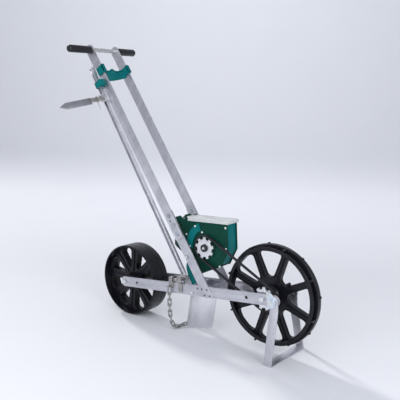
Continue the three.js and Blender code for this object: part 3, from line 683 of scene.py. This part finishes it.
def spotVerts(bm, verts, spot, side):
    # moves everything joined to these vertices from the origin, Z up, to a face that looks along side * Y
    island = set(verts)
    waiting = list(verts)
    while waiting:
        vert = waiting.pop()
        for edge in vert.link_edges:
            other = edge.other_vert(vert)
            if other not in island:
                island.add(other)
                waiting.append(other)
    turn = Matrix.Rotation(math.radians(90 * -side), 4, "X")
    bmesh.ops.transform(bm, matrix=Matrix.Translation(spot) @ turn, verts=list(island))


washerThickness = 1.0


def addHex(bm, spot, side, radius, height, washer=0.0, turn=0.0):
    # a six-sided head or nut, its corners chamfered, over a thin washer
    lift = 0.0
    if washer:
        lift = washerThickness
        disc = bmesh.ops.create_cone(
            bm, cap_ends=True, segments=24, radius1=washer * mm, radius2=(washer - 0.3) * mm, depth=lift * mm,
            matrix=Matrix.Translation((0, 0, lift * mm / 2)),
        )
        spotVerts(bm, disc["verts"], spot, side)
    nut = bmesh.ops.create_cone(
        bm, cap_ends=True, segments=6, radius1=radius * mm, radius2=radius * mm, depth=height * mm,
        matrix=Matrix.Translation((0, 0, (lift + height / 2) * mm)) @ Matrix.Rotation(turn, 4, "Z"),
    )
    top = [v for v in nut["verts"] if v.co.z > (lift + height * 0.6) * mm]
    rim = list({e for v in top for e in v.link_edges if e.other_vert(v) in top})
    made = roundEdges(bm, rim, radius * 0.14)
    spotVerts(bm, [made["faces"][0].verts[0]], spot, side)


hopperScrews = {
    "plate": [(261.7, 331.6), (326.8, 347), (419, 374.1), (422.2, 307.2), (399.4, 246.9)],
    "cover": [(299.8, 364.1), (280.3, 295.3)],
    "plateFace": -31,
    "coverFace": -33.8,
    "farFace": 22,
    "radius": 3.6,
    "height": 2.4,
}
frameBolts = {
    "lap": [210, 276],     # along the handle bars
    "lapFace": 61.6,       # from the middle to the upper bar's outer face
    "lapInner": 54.2,
    "rods": [(231.7, 361, 61.7), (286.9, 263.8, 57.9)],    # x, z and face
    "axles": [(0, 125), (575, 183)],
    "opener": (304.5, 148.4),
    "railFace": 54.1,      # from the middle to the far rail's outer face
}
frameRivets = {
    "rail": [(328.8, 166)],
    "foot": [(349.2, 168.9), (369.4, 170.4), (361.4, 150.7), (381.5, 152.3)],
    "railFace": 54,
    "footFace": 57.8,      # the handle bar's foot lies on the rail
    "lap": 258,
}
hubBolt = {"at": (347, 301), "face": -49.2, "nut": 4.0, "height": 3.4, "end": 2.6}


def makeHopperScrews():
    bm = bmesh.new()
    screw = (hopperScrews["radius"], hopperScrews["height"])
    for x, z in hopperScrews["plate"]:
        addDome(bm, at(x, hopperScrews["plateFace"], z), -1, *screw)
    for x, z in hopperScrews["cover"]:
        addDome(bm, at(x, hopperScrews["coverFace"], z), -1, *screw)
    for x, z in hopperScrews["plate"] + hopperScrews["cover"]:
        addDome(bm, at(x, hopperScrews["farFace"], z), 1, *screw)
    closeUp(bm)
    finishPiece("hopper_screws", bm, "chassis", "screw", sharp=50)


def makeFrameBolts():
    bm = bmesh.new()
    for side in (-1, 1):
        for along in frameBolts["lap"]:
            head = onHandle(0, side * frameBolts["lapFace"], along)
            nut = onHandle(0, side * frameBolts["lapInner"], along)
            addHex(bm, head, side, 6.0, 3.0, washer=7.5, turn=along)
            addHex(bm, nut, -side, 6.0, 4.0, washer=7.5, turn=along * 2)
        for x, z, face in frameBolts["rods"]:
            addHex(bm, at(x, side * face, z), side, 6.6, 3.6, turn=x)
    for x, z in frameBolts["axles"]:
        addHex(bm, at(x, frameBolts["railFace"], z), 1, 9.2, 6.5, washer=11, turn=x)
    x, z = frameBolts["opener"]
    addHex(bm, at(x, frameBolts["railFace"], z), 1, 5.8, 4.5, washer=7.5)
    closeUp(bm)
    finishPiece("frame_bolts", bm, "chassis", "bolt", sharp=40)


def makeFrameRivets():
    bm = bmesh.new()
    for side in (-1, 1):
        for place in ("rail", "foot"):
            for x, z in frameRivets[place]:
                addDome(bm, at(x, side * frameRivets[place + "Face"], z), side, 3.4, 1.5)
        addDome(bm, onHandle(-4, side * frameBolts["lapFace"], frameRivets["lap"]), side, 3.0, 1.3)
    closeUp(bm)
    # the rivet and lap domes take the steel whose dark colour is partly painted shade for their hollow heads
    finishPiece("frame_rivets", bm, "chassis", "rivetSteelPaintedShade", sharp=50)


def makeHubBolt():
    bm = bmesh.new()
    x, z = hubBolt["at"]
    face = hubBolt["face"]
    addHex(bm, at(x, face, z), -1, hubBolt["nut"], hubBolt["height"], turn=0.4)
    addDome(bm, at(x, face - hubBolt["height"], z), -1, hubBolt["end"], 1.0)
    closeUp(bm)
    finishPiece("hub_bolt", bm, "seed_shaft", "machined", sharp=40)


makeHopperScrews()
makeFrameBolts()
makeFrameRivets()
makeHubBolt()
print("fasteners made")


# ---- handle brace ----
brace = {
    "low": 815,            # the web, along the bars
    "high": 853,
    "reach": 51,           # half the distance between its hooked ends
    "columns": 40,
    "rows": 12,
    "thickness": 4,
    "dish": 6,             # how far the ends of the web stand forwards
    "hump": 5.0,           # the rise in the middle of the top edge, and its half width
    "humpHalf": 9,
    "topShare": 0.7,       # height of the web over its middle line, as a share of the whole
    "lowShare": 1.3,       # the same under it, and how much that falls from near to far
    "lowFall": 0.42,
    "hookMiddle": 840,     # the hooks, along the bars
    "hookInner": 54,
    "hookOuter": 65.0,
    "hookTall": 30,
    "hookDeep": 34,        # across the bars
    "barOuter": 61.9,      # clear of the bar's outer, inner and front faces
    "barInner": 57.6,
    "hookCentre": 8,
    "lipCentre": 21.6,
    "lipDeep": 7.2,
}


def bell(value, centre, width):
    return math.exp(-((value - centre) / width) ** 2)


def makeBrace():
    bm = bmesh.new()
    tall = brace["high"] - brace["low"]
    middle = (brace["low"] + brace["high"]) / 2
    bmesh.ops.create_grid(bm, x_segments=brace["columns"], y_segments=brace["rows"], size=0.5)
    for vert in bm.verts:
        # along the web from -1 at the near end to 1, and up from -0.5 to 0.5
        share = vert.co.x * 2
        up = vert.co.y
        y = share * brace["reach"]
        ends = share ** 2
        hump = bell(y, 0, brace["humpHalf"])
        ridge = 5.0 * bell(up, 0.12 * ends - 0.05, 0.09) - 4.0 * bell(up, 0.30, 0.12)
        swell = 6.0 * hump * bell(up, 0.26, 0.24)
        if up > 0:
            rise = up * tall * (brace["topShare"] - 0.16 * bell(abs(y), 22, 9))
        else:
            rise = up * tall * (brace["lowShare"] - brace["lowFall"] * share)
        if up > 0.3:
            rise += brace["hump"] * hump
        vert.co = onHandle(brace["dish"] * ends + ridge + swell, y, middle + rise)
    bmesh.ops.solidify(bm, geom=bm.faces[:], thickness=brace["thickness"] * mm)
    inner = brace["hookInner"]
    outer = brace["hookOuter"]
    tilt = Matrix.Rotation(-handleLean, 4, "Y")
    for side in (-1, 1):
        # the wall outside the bar, the lip in front of it and the wall inside it
        for across, deep, low, high in (
            (brace["hookCentre"], brace["hookDeep"], brace["barOuter"], outer),
            (brace["lipCentre"], brace["lipDeep"], inner, outer),
            (brace["hookCentre"], brace["hookDeep"], inner, brace["barInner"]),
        ):
            spot = onHandle(across, side * (low + high) / 2, brace["hookMiddle"])
            addBlock(bm, (deep, high - low, brace["hookTall"]), Matrix.Translation(spot) @ tilt)
    bmesh.ops.recalc_face_normals(bm, faces=bm.faces)
    finishPiece(
        "brace_moulding", bm, "chassis", "teal", replaces=("handle_brace",), sharp=45,
    )


makeBrace()


# ---- marker blade ----
blade = {
    "turn": math.radians(20),
    "middle": 665,         # along the arm
    "foot": (-4, -82),     # across the arm and y, where the strap starts
    "root": 40,            # out from there
    "length": 157,
    "half": 12,
    "thickness": 2.2,
    "point": 24,
    "tipHalf": 1.5,
    "blunt": 2,
}
strap = {
    "section": [(0, 9.5), (3, 9.0), (16, 8.5), (30, 8.5), (44, 9)],    # out, and half its width
    "face": -1.2,
    "thickness": 2.4,
    # start and end of each rod as out, side and up, then its radius: the wings' wires and the screw
    "rods": [
        ((10, -9, -14), (22, -9, 10), 1.6),
        ((22, -9, -14), (10, -9, 10), 1.6),
        ((16, 2, 0), (16, -14, 0), 3.0),
    ],
    "tail": (24, -6, 8),   # the loose wire that hangs down the arm, its length and radius
    "tailLong": 46,
    "tailRadius": 1.3,
}


def onMarker(across, y, along):
    return onBar(markerFoot, markerLean, across, y, along)


def alongBlade(out, side, up):
    # out from the arm, sideways to the blade, and up the arm
    sine = math.sin(blade["turn"])
    cosine = math.cos(blade["turn"])
    across, y = blade["foot"]
    return onMarker(across - out * sine - side * cosine, y - out * cosine + side * sine, blade["middle"] + up)


def thicken(bm, faces, amount):
    # draws flat faces sideways into a plate
    drawn = bmesh.ops.extrude_face_region(bm, geom=faces, use_keep_orig=True)["geom"]
    bmesh.ops.translate(bm, verts=newVerts(drawn), vec=alongBlade(0, amount, 0) - alongBlade(0, 0, 0))
    bmesh.ops.recalc_face_normals(bm, faces=bm.faces)
    bevelSharp(bm, 0.5)


def addRod(bm, start, end, radius):
    # a round rod between two points, its ends rounded off
    made = bmesh.ops.create_cone(
        bm, cap_ends=True, segments=12, radius1=radius * mm, radius2=radius * mm, depth=(end - start).length,
        matrix=Matrix.Translation((start + end) / 2) @ (end - start).to_track_quat("Z", "Y").to_matrix().to_4x4(),
    )
    edges = {edge for vert in made["verts"] for edge in vert.link_edges}
    rims = [edge for edge in edges if max(len(face.verts) for face in edge.link_faces) > 4]
    roundEdges(bm, rims, radius * 0.35)


def makeBlade():
    bm = bmesh.new()
    half = blade["half"]
    shoulder = blade["length"] - blade["point"]
    tip = blade["length"] - blade["blunt"]
    outline = [
        (blade["root"], -half), (shoulder, -half), (tip, -blade["tipHalf"]),
        (tip, blade["tipHalf"]), (shoulder, half), (blade["root"], half),
    ]
    face = bm.faces.new([bm.verts.new(alongBlade(out, 0, up)) for out, up in outline])
    thicken(bm, [face], blade["thickness"])
    finishPiece("blade_plate", bm, "marker_blade", "blade", replaces=("marker_blade",))


def makeStrap():
    bm = bmesh.new()
    rows = []
    for out, wide in strap["section"]:
        rows.append([bm.verts.new(alongBlade(out, strap["face"], side * wide)) for side in (-1, 1)])
    faces = [bm.faces.new((a[0], a[1], b[1], b[0])) for a, b in zip(rows, rows[1:])]
    thicken(bm, faces, -strap["thickness"])
    down = onMarker(0, 0, 0) - onMarker(0, 0, 1)
    start = alongBlade(*strap["tail"])
    addRod(bm, start, start + down * strap["tailLong"], strap["tailRadius"])
    for start, end, radius in strap["rods"]:
        addRod(bm, alongBlade(*start), alongBlade(*end), radius)
    finishPiece("blade_strap", bm, "marker_blade", "steel", sharp=40)


makeBlade()
makeStrap()
print("marker blade made")


# ---- stage and light ----
paper = {
    "front": -4.0,         # metres along the camera's view
    "back": 3.2,
    "bend": 1.6,           # radius of the curve up to the wall
    "bendAngle": 85,
    "bendSteps": 16,
    "top": 7,
    "lean": 0.2,
    "half": 7,
    "colours": ((0.71, 0.72, 0.76), (0.735, 0.745, 0.78)),
}


def makeStage():
    bm = bmesh.new()
    start = bm.verts.new((0, paper["front"], 0))
    end = bm.verts.new((0, paper["back"], 0))
    bm.edges.new((start, end))
    spun = bmesh.ops.spin(
        bm, geom=[end], cent=(0, paper["back"], paper["bend"]), axis=(1, 0, 0),
        angle=math.radians(paper["bendAngle"]), steps=paper["bendSteps"],
    )
    tip = newVerts(spun["geom_last"])[0]
    raised = bm.verts.new((0, tip.co.y + paper["lean"], paper["top"]))
    bm.edges.new((tip, raised))
    moved = newVerts(bmesh.ops.extrude_edge_only(bm, edges=list(bm.edges))["geom"])
    bmesh.ops.translate(bm, verts=[v for v in bm.verts if v not in moved], vec=(-paper["half"], 0, 0))
    bmesh.ops.translate(bm, verts=moved, vec=(paper["half"], 0, 0))
    turn = Matrix.Rotation(math.radians(camera["azimuth"]), 4, "Z")
    bmesh.ops.transform(bm, matrix=turn, verts=bm.verts)
    bmesh.ops.recalc_face_normals(bm, faces=bm.faces)
    for face in bm.faces:
        face.smooth = True
    mesh = bpy.data.meshes.new("studio_floor")
    bm.to_mesh(mesh)
    bm.free()
    made = Finish("studio_paper", Roughness=0.7)
    made.set("Base Color", made.mix(made.noise(made.place(), 3.0), *paper["colours"]))
    mesh.materials.append(made.material)
    piece = bpy.data.objects.new("studio_floor", mesh)
    piece.visible_shadow = False       # the low light comes from behind the paper
    scene.collection.objects.link(piece)


softboxes = {
    # place, what it faces, its size in metres, watts, colour
    "key": ((-900, -500, 2900), (200, 0, 150), 2.4, 8, (1.0, 0.99, 0.98)),
    "front": ((600, -2600, 1500), (250, 0, 350), 2.4, 34, (0.97, 0.98, 1.0)),
    "side": ((2700, -900, 1500), (350, 0, 300), 1.3, 24, (0.96, 0.98, 1.0)),
    "back": ((-300, 900, 3200), (-2700, 5000, 2700), 2.2, 68, (0.97, 0.98, 1.0)),
}
lowSun = {
    "from": (-950, 310, 480),
    "strength": 1.9,
    "spread": math.radians(7),
    "colour": (1.0, 0.99, 0.97),
}
air = {"colour": (0.885, 0.915, 1.0, 1), "strength": 0.53}


def addLight(name, kind, power, colour, place, view):
    # a light at a place, looking along a direction
    data = bpy.data.lights.new(name, kind)
    data.energy = power
    data.color = colour
    made = bpy.data.objects.new(name, data)
    made.matrix_world = Matrix.Translation(place) @ view.to_track_quat("-Z", "Y").to_matrix().to_4x4()
    scene.collection.objects.link(made)
    return data


def makeLights():
    view = -Vector(lowSun["from"])
    sun = addLight("low_sun", "SUN", lowSun["strength"], lowSun["colour"], Vector(), view)
    sun.angle = lowSun["spread"]
    for name, (place, aim, size, power, colour) in softboxes.items():
        box = addLight(name + "_softbox", "AREA", power, colour, at(*place), at(*aim) - at(*place))
        box.shape = "DISK"
        box.size = size
    world = bpy.data.worlds.new("studio_air")
    scene.world = world
    world.use_nodes = True
    sky = world.node_tree.nodes["Background"]
    sky.inputs["Color"].default_value = air["colour"]
    sky.inputs["Strength"].default_value = air["strength"]
    scene.view_settings.view_transform = "Standard"


makeStage()
makeLights()
print("stage lit")


# ---- pieces that keep their solid's shape ----
kept = [
    # node, finish, edge width in millimetres
    ("rail_near", "rail", 0.6), ("rail_far", "rail", 0.6),
    ("handle_lower_near", "handle", 0.5), ("handle_lower_far", "handle", 0.5),
    ("handle_upper_near", "handle", 0.5), ("handle_upper_far", "handle", 0.5),
    ("crossbar", "cross", 0.4), ("opener_carrier", "rail", 0.5), ("furrow_opener", "shoe", 0.4),
    ("stand_strap", "upright", 0.5), ("stand_stop", "zinc", 0.4),
    ("marker_arm", "arm", 0.3), ("marker_foot", "steel", 0.4), ("marker_clamp", "steel", 0.5),
    ("marker_slider", "brightSteel", 0.5), ("marker_clip", "teal", 1.4), ("marker_pivot_pin", "zinc", 0.3),
    ("seed_sprocket", "machined", 0.7), ("front_sprocket", "machined", 0.7), ("sprocket_hub_cap", "cap", 1.0),
    ("seed_shaft", "steel", 0.5), ("seed_disc", "disc", 0.3),
    ("hopper_side_near", "green", 0.5), ("hopper_side_far", "green", 0.5), ("hopper_body", "teal", 0.5),
    ("disc_cover_arc", "teal", 0.8), ("seed_brush", "grip", 0.6),
    ("lid", "clear", 0.6), ("lid_hinge_pin", "steel", 0.4),
    ("shaft_bush_near", "steel", 0.3), ("shaft_bush_far", "steel", 0.3),
    ("hopper_rod_upper", "zinc", 0.4), ("hopper_rod_lower", "zinc", 0.4),
    ("rod_sleeve_upper_near", "cross", 0.4), ("rod_sleeve_upper_far", "cross", 0.4),
    ("rod_sleeve_lower_near", "cross", 0.4), ("rod_sleeve_lower_far", "cross", 0.4),
    ("rear_axle", "zinc", 0.6), ("front_axle", "zinc", 0.6), ("opener_bolt", "zinc", 0.5),
    ("stand_bolt_near", "zinc", 0.6), ("stand_bolt_far", "zinc", 0.6),
    ("rear_spacer_near", "steel", 0.4), ("rear_spacer_far", "steel", 0.4),
    ("front_spacer_near", "steel", 0.4), ("front_spacer_far", "steel", 0.4),
    ("front_wheel_bush", "machined", 0.2), ("rear_wheel_bush", "machined", 0.2),
    ("seed_chute", "teal", 0.4), ("drive_belt", "belt", 0.6),
    ("chain_bracket_near", "steel", 0.5), ("chain_bracket_far", "steel", 0.5),
    ("grip_near", "grip", 0.8), ("grip_far", "grip", 0.8),
]
for node, finish, width in kept:
    refine(node, finish, width)
print("kept shapes refined:", len(kept))
